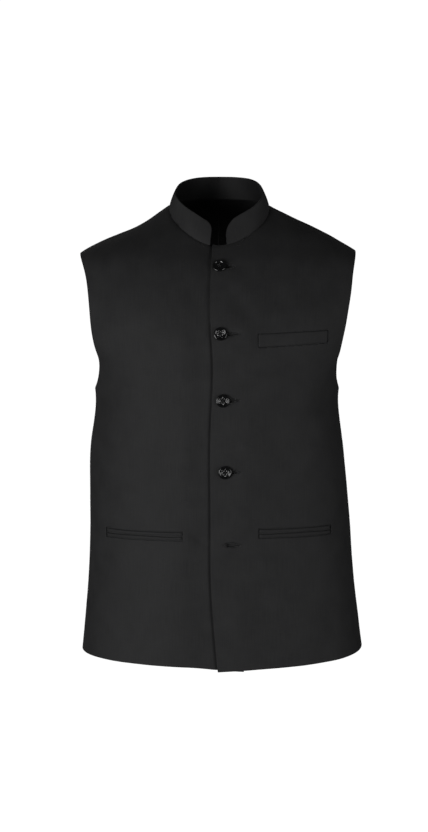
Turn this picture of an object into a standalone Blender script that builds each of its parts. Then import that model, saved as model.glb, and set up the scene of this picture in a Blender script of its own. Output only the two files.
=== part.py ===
"""Sleeveless jacket: a five-button waistcoat with a band collar, hollow, in the form it has when worn.

Metres, +Z up. The front faces -Y and +X is the wearer's left. The origin is where the garment hangs from the
shoulders, midway between the points where the shoulder seams meet the collar. Sizes below are in millimetres.
"""
from collections import Counter, namedtuple
from math import cos, pi, radians, sin

import bpy
import numpy as np
from mathutils import Matrix

MM = 0.001
FRONT, BACK = -1, 1      # which way a face of the garment looks along Y
RIGHT, LEFT = -1, 1      # the wearer's sides along X

# Cloth and clearances
WALL = 2.0               # suiting, canvas and lining fused to one wall
COLLAR_WALL = 2.4
SEAM = 0.3               # between two pieces at a seam
COLLAR_SEAM = 0.8        # under the collar, whose edge follows the neckline as one smooth curve
LAP = 0.7                # between the overlapping fronts
ON_CLOTH = 0.4           # under a piece that lies on a panel

# Heights of the cut
HEM_FRONT, HEM_BACK = -629.0, -624.0
HEM_SIDE = {RIGHT: -619.0, LEFT: -614.0}
UNDERARM = -252.0
NOTCH = -205.0           # front of the armhole, where it turns towards the underarm
NECK_POINT = -2.0        # shoulder seam's end at the collar
NECK_DROP = 48.0         # from there down to the front of the neckline
NECK_POWER = 1.6         # shape of the front neckline, between a V (1) and an ellipse (2)
SHOULDER_TIP = {RIGHT: -63.5, LEFT: -60.5}
DIVIDE = -222.0          # row of the mesh that parts the body of a panel from its chest
DIVIDE_TURN = radians(45)

# Mesh cells of a panel
BODY_ROWS, CHEST_ROWS = 14, 12
CHEST_CROWDING = 1.4     # rows of the chest lie closer together towards the shoulder
NECK_COLUMNS, SHOULDER_COLUMNS, UNDERARM_COLUMNS = 7, 9, 4

# The upper back rises towards the back of the neck
NECK_RISE, RISE_START, RISE_LENGTH = 14.0, -20.0, 80.0
RISE_BELOW, RISE_HEIGHT = -90.0, 80.0

# Sections of the worn form by height: half widths on the wearer's sides, depths to front and back from the
# middle (the line through the side and shoulder seams), and squareness (2 is an ellipse)
Level = namedtuple("Level", "z right left front back middle square")
LEVELS = (
    Level(-630, 195.5, 205.5, 129, 133, 0, 2.35),
    Level(-560, 188.5, 196, 127, 129, 0, 2.35),
    Level(-500, 184, 189.5, 124.5, 121, 0, 2.32),
    Level(-430, 182, 184.5, 123, 112, 0, 2.3),
    Level(-370, 182, 178.5, 124.5, 111, 0, 2.3),
    Level(-325, 180, 174, 127, 114.5, 0, 2.3),
    Level(-284, 174, 168.5, 129.5, 119, 0, 2.3),
    Level(-250, 174, 168.5, 130, 123, 0, 2.3),
    Level(-205, 189, 187, 128, 126, 0, 2.27),
    Level(-160, 208, 207, 122, 123, 0, 2.2),
    Level(-120, 213, 213, 110, 115, 0, 2.12),
    Level(-90, 209, 209, 97, 106, 0.5, 2.06),
    Level(-66, 197, 198, 82, 96, 1.5, 2.02),
    Level(-50, 166.5, 172, 69, 88, 3, 2),
    Level(-34, 123, 138, 56, 78, 4.5, 2),
    Level(-18, 92, 99.5, 39, 65, 6, 2),
    Level(-2, 69, 70, 25, 51, 8, 2),
    Level(6, 57, 58, 19, 45, 9, 2),
)

# Edge of the armholes: distance from the centre line by height
Scye = namedtuple("Scye", "z right left back")
SCYE = (
    Scye(-205, 166.5, 163, 173),
    Scye(-185, 171.5, 167.5, 174.5),
    Scye(-165, 175, 172, 176),
    Scye(-140, 177, 176.5, 178.5),
    Scye(-112, 180, 181, 182),
    Scye(-88, 185, 184.5, 187),
)

# Edge of the left front where it closes over the right one
Edge = namedtuple("Edge", "z x")
LEFT_EDGE = (
    Edge(-630, -1.8),
    Edge(-565, -7.4),
    Edge(-510, -11),
    Edge(-430, -11.6),
    Edge(-285, -11),
    Edge(-207, -8.4),
    Edge(-150, -11.8),
    Edge(-48, -8.9),
)
UNDERLAP = 16.0          # right front's edge past the centre line, under the left front
TUCK_START, TUCK_LENGTH = -52.0, 34.0

# Largest folds: centre, turn from level, half length and half width, and rise of the cloth there
Fold = namedtuple("Fold", "face x z turn length width rise")
FOLDS = (
    Fold(FRONT, 72, -90, 80, 50, 17, -2.6),
    Fold(FRONT, 32, -130, -55, 32, 14, -1.8),
    Fold(FRONT, 112, -150, 70, 46, 26, 2.0),
    Fold(FRONT, -108, -150, 75, 60, 30, 1.8),
    Fold(FRONT, -148, -192, 40, 34, 12, -2.2),
    Fold(FRONT, 146, -205, -35, 36, 12, -2.2),
    Fold(FRONT, 84, -330, 86, 100, 24, -3.2),
    Fold(FRONT, -78, -330, 94, 95, 24, -2.2),
    Fold(FRONT, 36, -335, 88, 90, 16, 1.4),
    Fold(FRONT, -70, -540, 80, 70, 40, 1.6),
    Fold(FRONT, 62, -545, 98, 70, 26, -2.0),
    Fold(BACK, -84, -300, 84, 110, 22, -3.0),
    Fold(BACK, 80, -310, 97, 110, 22, -3.0),
    Fold(BACK, 0, -395, 2, 90, 20, -2.6),
    Fold(BACK, 40, -440, -14, 70, 15, -1.8),
    Fold(BACK, -112, -160, 62, 60, 18, -2.0),
    Fold(BACK, 110, -165, -64, 60, 18, -2.0),
    Fold(BACK, 0, -90, 90, 60, 40, 1.5),
)

# Collar: how far its top edge stands in, forward and up from its sewn edge, by share of the way from a front
# end to the back
Stand = namedtuple("Stand", "share inward forward up")
COLLAR = (
    Stand(0, 11, 0, 28.5),
    Stand(0.1, 8, -1, 31.5),
    Stand(0.23, 4.5, 0, 31),
    Stand(0.38, 4.5, 7.5, 30),
    Stand(0.54, 9.5, 14, 24),
    Stand(0.67, 9, 7, 27),
    Stand(0.8, 8, 3, 30),
    Stand(1, 8, 0, 31),
)
COLLAR_END = {RIGHT: 12.3, LEFT: 10.2}       # distance of its front ends from the centre line
COLLAR_CORNER = {RIGHT: 9.0, LEFT: 17.0}     # radius of its front corners
COLLAR_COLUMNS, CORNER_COLUMNS, COLLAR_ROWS = 32, 5, 3
COLLAR_BOW = 0.8         # how far the band curves out halfway up
RING_CELLS, RING_SMOOTHING = 160, 8

# Bands of cloth on the fronts: distances from the centre line, and heights of the upper and lower edge at
# each end
Band = namedtuple("Band", "name side near far near_top near_bottom far_top far_bottom thick")
JET_THICK, WELT_THICK = 1.4, 1.8
BANDS = (
    Band("chest_welt", LEFT, 52.6, 146.6, -167.8, -185.3, -164.6, -181.6, WELT_THICK),
    Band("right_pocket_upper_jet", RIGHT, 50.6, 153.5, -437.2, -442.4, -438.8, -444.0, JET_THICK),
    Band("right_pocket_lower_jet", RIGHT, 50.8, 154.5, -442.8, -448.0, -444.4, -449.6, JET_THICK),
    Band("left_pocket_upper_jet", LEFT, 54.6, 152.4, -433.4, -438.6, -434.2, -439.4, JET_THICK),
    Band("left_pocket_lower_jet", LEFT, 54.4, 153.8, -439.0, -444.4, -439.8, -445.2, JET_THICK),
)
BAND_COLUMNS = 10

# Buttons, sewn to the right front and passed through the left one
Place = namedtuple("Place", "x z")
BUTTONS = (Place(0, -78.8), Place(1.5, -167.8), Place(4.9, -256.6), Place(7.9, -354.2), Place(8.3, -454.1))
BUTTON_SIDES = 20
SHANK_RADIUS = 1.1
SHANK_FOOT = -(WALL + LAP - 0.35)
BUTTON_PROFILE = (       # radius and height above the left front
    (0, SHANK_FOOT), (SHANK_RADIUS, SHANK_FOOT), (SHANK_RADIUS, 1.4), (8.0, 1.4), (9.0, 2.3), (9.0, 3.4),
    (8.2, 4.4), (6.9, 4.3), (5.6, 3.5), (0, 3.3),
)
THREAD_HOLE_RADIUS, THREAD_HOLE_OUT, THREAD_HOLE_SIDES = 0.75, 1.55, 6
THREAD_HOLE_BOTTOM, THREAD_HOLE_TOP = 0.6, 6.0
BUTTONHOLE_EYE, BUTTONHOLE_LENGTH, BUTTONHOLE_END = 1.7, 21.0, 0.3
BUTTONHOLE_DEPTH, BUTTONHOLE_HEIGHT = -5.0, 3.0


def through(knots, values, at):
    """Natural cubic spline through the points, with no bend at its two ends."""
    knots, values = np.array(knots, float), np.array(values, float)
    steps = np.diff(knots)
    count = len(knots)
    system, load = np.eye(count), np.zeros(count)
    for i in range(1, count - 1):
        system[i, i - 1:i + 2] = steps[i - 1], 2 * (steps[i - 1] + steps[i]), steps[i]
        load[i] = 6 * ((values[i + 1] - values[i]) / steps[i] - (values[i] - values[i - 1]) / steps[i - 1])
    bend = np.linalg.solve(system, load)
    i = np.clip(np.searchsorted(knots, at, side="right") - 1, 0, count - 2)
    step, left, right = steps[i], at - knots[i], knots[i + 1] - at
    return (bend[i] * right**3 / (6 * step) + bend[i + 1] * left**3 / (6 * step)
            + (values[i] / step - bend[i] * step / 6) * right
            + (values[i + 1] / step - bend[i + 1] * step / 6) * left)


def column(table, name, at):
    """Value of one column of a table at the given places along its first column."""
    return through([row[0] for row in table], [getattr(row, name) for row in table], at)


def ease(share):
    """0 up to 0, 1 from 1 on, and smooth between."""
    share = np.clip(share, 0, 1)
    return share * share * (3 - 2 * share)


def half_width(side, z):
    return column(LEVELS, "left" if side == LEFT else "right", z)


def depth(face, z):
    return column(LEVELS, "front" if face == FRONT else "back", z)


def form(face, side, angle, z):
    """Point of the worn form: a superellipse at each height, by angle from the centre line to the side."""
    square = column(LEVELS, "square", z)
    s, c = np.sin(angle), np.cos(angle)
    reach = (np.abs(s)**square + np.abs(c)**square) ** (-1 / square)
    x = half_width(side, z) * reach * s
    y = column(LEVELS, "middle", z) + face * depth(face, z) * reach * c
    rise = NECK_RISE * ease((y - RISE_START) / RISE_LENGTH) * ease((z - RISE_BELOW) / RISE_HEIGHT)
    return np.stack((x, y, z + rise), axis=-1)


def outward(face, side, angle, z):
    """Unit normal of the worn form."""
    d_angle, d_z = 1e-3, 0.1
    along = form(face, side, angle + d_angle, z) - form(face, side, angle - d_angle, z)
    up = form(face, side, angle, z + d_z) - form(face, side, angle, z - d_z)
    normal = -face * np.cross(along, up)
    return normal / np.linalg.norm(normal, axis=-1, keepdims=True)


def fold_rise(face, x, z, angle):
    """Sum of the folds, each a soft hump or trough, fading out towards the side seams."""
    total = np.zeros_like(x)
    for fold in FOLDS:
        if fold.face == face:
            turn = radians(fold.turn)
            along = (x - fold.x) * cos(turn) + (z - fold.z) * sin(turn)
            across = (z - fold.z) * cos(turn) - (x - fold.x) * sin(turn)
            total += fold.rise * np.exp(-(along / fold.length)**2 - (across / fold.width)**2)
    return total * (1 - (np.abs(angle) / (pi / 2))**8)


def cloth(face, side, angle, z, out=0.0):
    """Point on the outer side of the cloth, or moved out from it."""
    angle, z = np.broadcast_arrays(np.asarray(angle, float), np.asarray(z, float))
    base = form(face, side, angle, z)
    away = fold_rise(face, base[..., 0], z, angle) + out
    return base + outward(face, side, angle, z) * away[..., None]


def tuck(x):
    """How far the right front lies in, so that the left front passes over it."""
    return -(WALL + LAP) * ease((x - TUCK_START) / TUCK_LENGTH)


def angle_at(face, side, x, z):
    """Angle of the point at a distance x out from the centre line."""
    square = column(LEVELS, "square", z)
    share = x / half_width(side, z)
    rest = np.clip(1 - np.abs(share)**square, 0, 1) ** (1 / square)
    return np.arctan2(share, rest)


def spread(face, side, z):
    """Length on the flat pattern for each unit of angle."""
    return np.sqrt((half_width(side, z)**2 + depth(face, z)**2) / 2)


def pattern(face, side, x, z):
    """Place on the flat pattern (distance from the centre line along the cloth, height)."""
    return np.stack((angle_at(face, side, x, z) * spread(face, side, z), z), axis=-1)


def seam_line(face, side, z):
    """The side or shoulder seam on the flat pattern, half a seam's gap in from the middle line."""
    quarter = pi / 2 - SEAM / 2 / depth(face, z)
    return np.stack((quarter * spread(face, side, z), z), axis=-1)


def divided(points, shares):
    """Points at the given shares of a line's length."""
    lengths = np.concatenate(([0], np.cumsum(np.linalg.norm(np.diff(points, axis=0), axis=1))))
    at = np.asarray(shares) * lengths[-1]
    return np.stack([np.interp(at, lengths, part) for part in points.T], axis=-1)


def evenly(points, cells):
    return divided(points, np.linspace(0, 1, cells + 1))


def patch(bottom, top, inner, outer, rows):
    """Coons patch: a grid of points inside four border lines that meet, its rows at the given shares."""
    u = np.linspace(0, 1, len(bottom))[None, :, None]
    v = rows[:, None, None]
    ends = ((1 - u) * (1 - v) * bottom[0] + u * (1 - v) * bottom[-1] + (1 - u) * v * top[0] + u * v * top[-1])
    return (1 - v) * bottom + v * top + (1 - u) * inner[:, None] + u * outer[:, None] - ends


def armhole(face, side):
    """Armhole on the flat pattern: from the underarm to the dividing row, and on to the shoulder tip."""
    tip = SHOULDER_TIP[side]
    heights = np.linspace(NOTCH, tip, 80)
    name = "back" if face == BACK else ("left" if side == LEFT else "right")
    rows = [(row.z, getattr(row, name)) for row in SCYE] + [(tip, float(half_width(side, np.array(tip))))]
    x = through([row[0] for row in rows], [row[1] for row in rows], heights)
    upper = pattern(face, side, np.minimum(x, half_width(side, heights)), heights)
    upper[-1] = seam_line(face, side, np.array(tip))
    under = seam_line(face, side, np.array(UNDERARM))
    turn = np.linspace(0, pi / 2, 41)[:, None]
    scoop = np.concatenate((upper[0, 0] + (under[0] - upper[0, 0]) * (1 - np.sin(turn)),
                            NOTCH + (UNDERARM - NOTCH) * np.cos(turn)), axis=1)
    cut = int(np.searchsorted(turn[:, 0], DIVIDE_TURN))
    return scoop[:cut + 1], np.concatenate((scoop[cut:], upper[1:]))


def neckline(face, side, start):
    """Neckline on the flat pattern, from a distance out from the centre line to the shoulder seam."""
    end = float(half_width(side, np.array(NECK_POINT)))
    x = start + (end - start) * np.sin(np.linspace(0, pi / 2, 121))
    drop = (1 - np.minimum(np.abs(x) / end, 1)**NECK_POWER) ** (1 / NECK_POWER)
    z = NECK_POINT - (NECK_DROP * drop if face == FRONT else 0 * drop)
    line = pattern(face, side, x, z)
    line[-1] = seam_line(face, side, np.array(NECK_POINT))
    return line


def half_panel(face, side, edge):
    """Angles and heights of one panel of the cloth, as two grids that share a row: the body and the chest.

    edge gives the distance out from the centre line of the panel's inner edge, by height.
    """
    neck = neckline(face, side, float(edge(np.array(NECK_POINT - NECK_DROP))))
    under, above = armhole(face, side)
    split = above[0]
    body_rows = np.linspace(0, 1, BODY_ROWS + 1)
    chest_rows = 1 - (1 - np.linspace(0, 1, CHEST_ROWS + 1))**CHEST_CROWDING
    hem_middle = HEM_FRONT if face == FRONT else HEM_BACK
    body_heights = hem_middle + (DIVIDE - hem_middle) * body_rows
    chest_heights = DIVIDE + (neck[0, 1] - DIVIDE) * chest_rows
    body_inner = pattern(face, side, edge(body_heights), body_heights)
    chest_inner = pattern(face, side, edge(chest_heights), chest_heights)
    chest_inner[-1] = neck[0]
    shoulder_heights = np.linspace(NECK_POINT, SHOULDER_TIP[side], 60)
    shoulder = seam_line(face, side, shoulder_heights)
    columns = NECK_COLUMNS + SHOULDER_COLUMNS
    row = evenly(np.stack((body_inner[-1], split)), columns)
    body_top = np.concatenate((row, evenly(under[::-1], UNDERARM_COLUMNS)[1:]))
    side_seam = seam_line(face, side, HEM_SIDE[side] + (UNDERARM - HEM_SIDE[side]) * body_rows)
    hem = evenly(np.stack((body_inner[0], side_seam[0])), columns + UNDERARM_COLUMNS)
    chest_top = np.concatenate((evenly(neck, NECK_COLUMNS), evenly(shoulder, SHOULDER_COLUMNS)[1:]))
    grids = (patch(hem, body_top, body_inner, side_seam, body_rows),
             patch(row, chest_top, chest_inner, divided(above, chest_rows), chest_rows))
    return [(side * grid[..., 0] / spread(face, side, grid[..., 1]), grid[..., 1]) for grid in grids]


def cells(index):
    """Quads of a grid of point numbers."""
    return np.stack((index[:-1, :-1], index[:-1, 1:], index[1:, 1:], index[1:, :-1]), axis=-1).reshape(-1, 4)


def panel(face, side, edge, out):
    """Outer points, inner points and quads of a panel whose two grids share a row."""
    outer, inner, numbers = [], [], []
    count = 0
    for angle, z in half_panel(face, side, edge):
        x = form(face, side, angle, z)[..., 0]
        outer.append(cloth(face, side, angle, z, out(x)).reshape(-1, 3))
        inner.append(cloth(face, side, angle, z, out(x) - WALL).reshape(-1, 3))
        numbers.append(np.arange(angle.size).reshape(angle.shape) + count)
        count += angle.size
    numbers[1][0] = numbers[0][-1, :numbers[1].shape[1]]
    quads = [cells(grid)[:, ::side] for grid in numbers]
    return np.concatenate(outer), np.concatenate(inner), np.concatenate(quads)


def closed_faces(quads, count):
    """Faces of a wall: the outer skin, the inner skin turned round, and a rim along every open edge."""
    sides = Counter((int(a), int(b)) for quad in quads for a, b in zip(quad, np.roll(quad, -1)))
    rim = [(b, a, a + count, b + count) for a, b in sides if (b, a) not in sides]
    return [tuple(map(int, q)) for q in quads] + [tuple(map(int, q[::-1] + count)) for q in quads] + rim


def volume(points, faces):
    """Signed volume inside the faces."""
    total = 0.0
    for face in faces:
        for b, c in zip(face[1:-1], face[2:]):
            total += np.dot(points[face[0]], np.cross(points[b], points[c]))
    return total / 6


def solid(name, points, faces, material):
    """Object of a closed body, faces pointing out, from points in millimetres."""
    if volume(points, faces) < 0:
        faces = [face[::-1] for face in faces]
    used = sorted({number for face in faces for number in face})
    renumber = {number: place for place, number in enumerate(used)}
    mesh = bpy.data.meshes.new(name)
    mesh.from_pydata([points[number] * MM for number in used], [],
                     [[renumber[number] for number in face] for face in faces])
    mesh.materials.append(material)
    mesh.shade_smooth()
    mesh.set_sharp_from_angle(angle=radians(40))
    item = bpy.data.objects.new(name, mesh)
    bpy.context.scene.collection.objects.link(item)
    return item


def wall(name, outer, inner, quads, material):
    return solid(name, np.concatenate((outer, inner)), closed_faces(quads, len(outer)), material)


def slab(name, outer, inner, material):
    """Wall from two matching grids of points."""
    quads = cells(np.arange(outer[..., 0].size).reshape(outer.shape[:2]))
    return wall(name, outer.reshape(-1, 3), inner.reshape(-1, 3), quads, material)


def finish(name, colour, roughness, metallic=0.0):
    """Plain material of a colour, a roughness and a metallic value."""
    material = bpy.data.materials.new(name)
    material.use_nodes = True
    shader = material.node_tree.nodes["Principled BSDF"]
    shader.inputs["Base Color"].default_value = (*colour, 1)
    shader.inputs["Roughness"].default_value = roughness
    shader.inputs["Metallic"].default_value = metallic
    return material


def left_edge(z):
    return column(LEFT_EDGE, "x", z)


def right_edge(z):
    return np.full_like(z, -UNDERLAP, dtype=float)


def centre_seam(z):
    """Inner edge of each half of the back: half a seam's gap from the centre line."""
    return np.full_like(z, SEAM / 2, dtype=float)


def flat(x):
    return np.zeros_like(x)


def neck_ring():
    """Sewn edge of the collar: the neckline from its front end on the left, round the back, to the right."""
    lines = []
    for face, side, start in ((FRONT, LEFT, COLLAR_END[LEFT]), (BACK, LEFT, 0.0),
                              (BACK, RIGHT, 0.0), (FRONT, RIGHT, COLLAR_END[RIGHT])):
        line = neckline(face, side, start)
        angle = side * line[:, 0] / spread(face, side, line[:, 1])
        points = cloth(face, side, angle, line[:, 1])
        if face == FRONT and side == RIGHT:
            points = cloth(face, side, angle, line[:, 1], tuck(points[:, 0]))
        lines.append(points)
    ring = np.concatenate((lines[0], lines[1][::-1], lines[2][1:], lines[3][::-1]))
    ring = evenly(ring, RING_CELLS)
    for _ in range(RING_SMOOTHING):
        ring[1:-1] = (ring[:-2] + 2 * ring[1:-1] + ring[2:]) / 4
    return ring + np.array((0, 0, COLLAR_SEAM))


def collar_stations(ring):
    """Shares of the ring's length at the collar's columns, close together round its front corners, and how
    much of the full height the collar has at each."""
    length = np.linalg.norm(np.diff(ring, axis=0), axis=1).sum()
    full = COLLAR[0].up
    turn = np.linspace(0, pi / 2, CORNER_COLUMNS + 1)
    near, far = COLLAR_CORNER[LEFT], COLLAR_CORNER[RIGHT]
    start, end = near * (1 - np.cos(turn)) / length, 1 - far * (1 - np.cos(turn[::-1])) / length
    middle = np.linspace(start[-1], end[0], COLLAR_COLUMNS + 1)[1:-1]
    heights = (1 - near / full * (1 - np.sin(turn)), np.ones(len(middle)),
               1 - far / full * (1 - np.sin(turn[::-1])))
    return np.concatenate((start, middle, end)), np.concatenate(heights)


def collar(material):
    """Band that leans in towards the neck, sewn to the neckline."""
    ring = neck_ring()
    shares, heights = collar_stations(ring)
    base = divided(ring, shares)
    tangent = divided(ring, np.minimum(shares + 0.01, 1)) - divided(ring, np.maximum(shares - 0.01, 0))
    away = np.stack((tangent[:, 1], -tangent[:, 0], 0 * shares), axis=-1)
    away /= np.linalg.norm(away, axis=1, keepdims=True)
    away *= np.sign((away * base * (1, 1, 0)).sum(axis=1, keepdims=True))
    share = 1 - np.abs(2 * shares - 1)
    rise = -away * column(COLLAR, "inward", share)[:, None]
    rise[:, 1] -= column(COLLAR, "forward", share)
    rise[:, 2] += column(COLLAR, "up", share)
    up = np.linspace(0, 1, COLLAR_ROWS + 1)[:, None, None] * heights[None, :, None]
    outer = base + rise * up + away * COLLAR_BOW * 4 * up * (1 - up)
    facing = np.cross(np.gradient(outer, axis=1), np.gradient(outer, axis=0))
    facing /= np.linalg.norm(facing, axis=2, keepdims=True)
    facing *= np.sign((facing * away).sum(axis=2, keepdims=True))
    return slab("collar", outer, outer - COLLAR_WALL * facing, material)


def band(row, material):
    """Strip of cloth that lies on a front."""
    u = np.linspace(0, 1, BAND_COLUMNS + 1)[None, :]
    v = np.array((0.0, 0.5, 1.0))[:, None]
    x = row.near + (row.far - row.near) * u + 0 * v
    top = row.near_top + (row.far_top - row.near_top) * u
    bottom = row.near_bottom + (row.far_bottom - row.near_bottom) * u
    z = bottom + (top - bottom) * v
    angle = row.side * angle_at(FRONT, row.side, x, z)
    out = ON_CLOTH + (tuck(-x) if row.side == RIGHT else 0)
    return slab(row.name, cloth(FRONT, row.side, angle, z, out + row.thick),
                cloth(FRONT, row.side, angle, z, out), material)


def button_frame(place):
    """Matrix that puts a button on the left front: its X along the cloth, its Z out of it."""
    x, z = np.array(place.x, float), np.array(place.z, float)
    angle = angle_at(FRONT, LEFT, x, z)
    normal = outward(FRONT, LEFT, angle, z)
    along = form(FRONT, LEFT, angle + 1e-3, z) - form(FRONT, LEFT, angle - 1e-3, z)
    along = along / np.linalg.norm(along)
    turned = np.stack((along, np.cross(normal, along), normal), axis=-1)
    matrix = Matrix.Identity(4)
    for i in range(3):
        matrix[i][:3] = turned[i]
        matrix[i][3] = cloth(FRONT, LEFT, angle, z)[i] * MM
    return matrix


def turned_piece(profile, count):
    """Points and faces of a profile of (radius, height) turned round Z, with its ends on the axis."""
    ring = [(cos(2 * pi * k / count), sin(2 * pi * k / count)) for k in range(count)]
    points = [(0, 0, profile[0][1])]
    points += [(radius * c, radius * s, height) for radius, height in profile[1:-1] for c, s in ring]
    points.append((0, 0, profile[-1][1]))
    rows, last = len(profile) - 2, len(points) - 1
    faces = []
    for k in range(count):
        after = (k + 1) % count
        faces.append((0, 1 + after, 1 + k))
        for row in range(rows - 1):
            low, high = 1 + row * count, 1 + (row + 1) * count
            faces.append((low + k, low + after, high + after, high + k))
        top = 1 + (rows - 1) * count
        faces.append((top + k, top + after, last))
    return np.array(points, float), faces


def prism(outline, bottom, top):
    """Points and faces of an outline in X and Y pulled along Z."""
    count = len(outline)
    points = [(x, y, height) for height in (bottom, top) for x, y in outline]
    faces = [tuple(range(count))[::-1], tuple(range(count, 2 * count))]
    faces += [(k, (k + 1) % count, (k + 1) % count + count, k + count) for k in range(count)]
    return np.array(points, float), faces


def helper(name, parts):
    """Cutter made of several closed shapes, left out of the model."""
    points, faces = [], []
    for part_points, part_faces in parts:
        faces += [tuple(number + len(points) for number in face) for face in part_faces]
        points += [tuple(point * MM) for point in part_points]
    mesh = bpy.data.meshes.new(name)
    mesh.from_pydata(points, [], faces)
    item = bpy.data.objects.new(name, mesh)
    bpy.context.scene.collection.objects.link(item)
    item.hide_render = True
    item.display_type = "WIRE"
    return item


def cut(item, cutter):
    hole = item.modifiers.new("cut", "BOOLEAN")
    hole.operation = "DIFFERENCE"
    hole.object = cutter


def buttonhole_outline():
    """Keyhole pulled open by the shank: a round eye that narrows to a point away from the front edge."""
    turns = np.linspace(radians(50), radians(310), 9)
    eye = [(BUTTONHOLE_EYE * cos(turn), BUTTONHOLE_EYE * sin(turn)) for turn in turns]
    return eye + [(BUTTONHOLE_LENGTH, -BUTTONHOLE_END), (BUTTONHOLE_LENGTH, BUTTONHOLE_END)]


def placed(matrix, shape):
    """Shape in a button's own frame, moved to the garment."""
    points, faces = shape
    turn = np.array([matrix[i][:3] for i in range(3)])
    middle = np.array([matrix[i][3] for i in range(3)]) / MM
    return points @ turn.T + middle, faces


def button(number, place, material):
    """Turned button with its shank, and four thread holes cut through it."""
    matrix = button_frame(place)
    points, faces = turned_piece(BUTTON_PROFILE, BUTTON_SIDES)
    item = solid(f"button_{number}", points, faces, material)
    item.matrix_world = matrix
    ring = [2 * pi * k / THREAD_HOLE_SIDES for k in range(THREAD_HOLE_SIDES)]
    holes = []
    for x in (-THREAD_HOLE_OUT, THREAD_HOLE_OUT):
        for y in (-THREAD_HOLE_OUT, THREAD_HOLE_OUT):
            round_it = [(THREAD_HOLE_RADIUS * cos(turn), THREAD_HOLE_RADIUS * sin(turn)) for turn in ring]
            outline = [(x + right, y + up) for right, up in round_it]
            holes.append(prism(outline, THREAD_HOLE_BOTTOM, THREAD_HOLE_TOP))
    cutter = helper(f"thread_holes_{number}", holes)
    cutter.matrix_world = matrix
    cut(item, cutter)


for old in list(bpy.data.objects):
    bpy.data.objects.remove(old)

suiting = finish("black_suiting", (0.021, 0.021, 0.022), 0.75)
horn = finish("black_button", (0.012, 0.012, 0.013), 0.25)

wall("right_front", *panel(FRONT, RIGHT, right_edge, tuck), suiting)
left_front = wall("left_front", *panel(FRONT, LEFT, left_edge, flat), suiting)
wall("right_back", *panel(BACK, RIGHT, centre_seam, flat), suiting)
wall("left_back", *panel(BACK, LEFT, centre_seam, flat), suiting)
collar(suiting)
for band_row in BANDS:
    band(band_row, suiting)
for button_number, button_place in enumerate(BUTTONS, 1):
    button(button_number, button_place, horn)
hole_shape = prism(buttonhole_outline(), BUTTONHOLE_DEPTH, BUTTONHOLE_HEIGHT)
cut(left_front, helper("buttonholes", [placed(button_frame(place), hole_shape) for place in BUTTONS]))
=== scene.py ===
"""Black five-button waistcoat with a band collar, hollow, in the form it has when worn.

Finer cloth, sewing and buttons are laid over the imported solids. Sizes are in millimetres in the part's own frame:
+Z up, the front facing -Y, +X to the wearer's left, and the origin between the shoulder points at the collar.
"""

from collections import namedtuple
from math import cos, pi, radians, sin

import bmesh
import bpy
import numpy as np
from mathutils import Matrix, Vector


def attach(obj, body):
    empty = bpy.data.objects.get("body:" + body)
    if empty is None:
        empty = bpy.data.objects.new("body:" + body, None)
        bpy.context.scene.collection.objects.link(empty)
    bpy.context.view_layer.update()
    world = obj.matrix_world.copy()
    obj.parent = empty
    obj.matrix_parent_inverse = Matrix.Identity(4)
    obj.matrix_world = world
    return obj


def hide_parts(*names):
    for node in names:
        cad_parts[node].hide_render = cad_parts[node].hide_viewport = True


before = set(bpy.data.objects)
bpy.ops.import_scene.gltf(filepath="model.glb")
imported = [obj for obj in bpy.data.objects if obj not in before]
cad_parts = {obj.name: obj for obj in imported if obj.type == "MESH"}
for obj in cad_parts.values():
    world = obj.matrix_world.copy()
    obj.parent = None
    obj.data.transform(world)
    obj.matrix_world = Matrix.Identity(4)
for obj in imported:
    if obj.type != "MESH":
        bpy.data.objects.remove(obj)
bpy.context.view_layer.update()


# Right front: one panel of black worsted suiting fused to its canvas and lining, from the shoulder to the hem.
# It is pressed to the worn form, and its edge lies under the left front, which buttons over it.
MM = 0.001
FRONT, BACK = -1, 1
RIGHT, LEFT = -1, 1
WALL = 2.0
LAP = 0.7
UNDERLAP = 34.0     # far enough to lie behind the whole of the buttonholes
TUCK_START, TUCK_LENGTH = -52.0, 34.0
HEM_FRONT, HEM_BACK = -629.0, -624.0
HEM_SIDE = {RIGHT: -623.0, LEFT: -618.0}
HEM_BOW, HEM_BOW_POWER = {RIGHT: 5.0, LEFT: 1.5}, 1.5     # rise of the front hem between its ends
UNDERARM, NOTCH = -252.0, -205.0
NECK_POINT, NECK_DROP, NECK_POWER = -2.0, 48.0, 1.6
SHOULDER_TIP = {RIGHT: -63.5, LEFT: -60.5}
DIVIDE, DIVIDE_TURN = -222.0, radians(45)
NECK_RISE, RISE_START, RISE_LENGTH = 14.0, -20.0, 80.0
RISE_BELOW, RISE_HEIGHT = -90.0, 80.0

# Sections of the worn form by height: half widths, depths from the line through the seams, and squareness
Level = namedtuple("Level", "z right left front back middle square")
LEVELS = (
    Level(-630, 195.5, 205.5, 129, 133, 0, 2.35),
    Level(-560, 188.5, 196, 127, 129, 0, 2.35),
    Level(-500, 184, 189.5, 124.5, 121, 0, 2.32),
    Level(-430, 182, 184.5, 123, 112, 0, 2.3),
    Level(-370, 182, 178.5, 124.5, 111, 0, 2.3),
    Level(-325, 180, 174, 127, 114.5, 0, 2.3),
    Level(-284, 174, 168.5, 129.5, 119, 0, 2.3),
    Level(-250, 174, 168.5, 130, 123, 0, 2.3),
    Level(-205, 189, 187, 128, 126, 0, 2.27),
    Level(-160, 208, 207, 122, 123, 0, 2.2),
    Level(-120, 213, 213, 110, 115, 0, 2.12),
    Level(-90, 209, 209, 97, 106, 0.5, 2.06),
    Level(-66, 197, 198, 82, 96, 1.5, 2.02),
    Level(-50, 166.5, 172, 69, 88, 3, 2),
    Level(-34, 123, 138, 56, 78, 4.5, 2),
    Level(-18, 92, 99.5, 39, 65, 6, 2),
    Level(-2, 69, 70, 25, 51, 8, 2),
    Level(6, 57, 58, 19, 45, 9, 2),
)

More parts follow.
